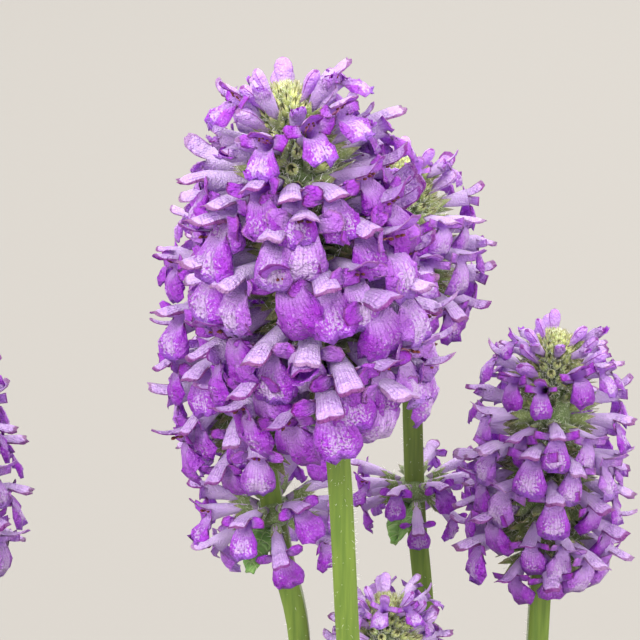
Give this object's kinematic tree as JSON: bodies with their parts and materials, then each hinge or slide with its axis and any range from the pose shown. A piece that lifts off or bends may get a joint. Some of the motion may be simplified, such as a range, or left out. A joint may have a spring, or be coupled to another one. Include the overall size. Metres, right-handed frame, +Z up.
{
  "type": "potted hummelo betony",
  "caption": "Perennial in a clay pot: a mound of long scalloped leaves and square upright stems, each topped with a dense spike of two-lipped purple flowers.",
  "frame": {"origin": "centre of the pot's underside", "axes": "+Z up along the pot's axis and the stems; -Y towards the side with the tallest spike; +X to its right seen from that side"},
  "size_m": [0.2824, 0.2793, 0.5476],
  "materials": {
    "pot": "unglazed terracotta",
    "soil": "moist bark compost",
    "leaf": "matt, wrinkled, softly hairy",
    "stem": "green, finely hairy",
    "petal": "thin soft petals, pale outside and purple inside"
  },
  "bodies": {
    "root": {"pot": "pot", "soil": "soil", "basal_leaf_01": "leaf", "basal_leaf_02": "leaf", "basal_leaf_03": "leaf", "basal_leaf_04": "leaf", "basal_leaf_05": "leaf", "basal_leaf_06": "leaf", "basal_leaf_07": "leaf", "basal_leaf_08": "leaf", "basal_leaf_09": "leaf", "basal_leaf_10": "leaf", "basal_leaf_11": "leaf", "basal_leaf_12": "leaf", "basal_leaf_13": "leaf", "basal_leaf_14": "leaf", "basal_leaf_15": "leaf", "basal_leaf_16": "leaf", "basal_leaf_17": "leaf", "basal_leaf_18": "leaf", "basal_leaf_19": "leaf", "basal_leaf_20": "leaf", "basal_leaf_21": "leaf", "stem_a": "stem", "stem_b": "stem", "stem_c": "stem", "stem_d": "stem", "stem_e": "stem", "stem_f": "stem", "spike_a": "petal", "spike_b": "petal", "spike_c": "petal", "spike_d": "petal", "spike_e": "petal", "spike_f": "petal", "lower_whorl_b": "petal", "lower_whorl_c": "petal"}
  },
  "joints": []
}
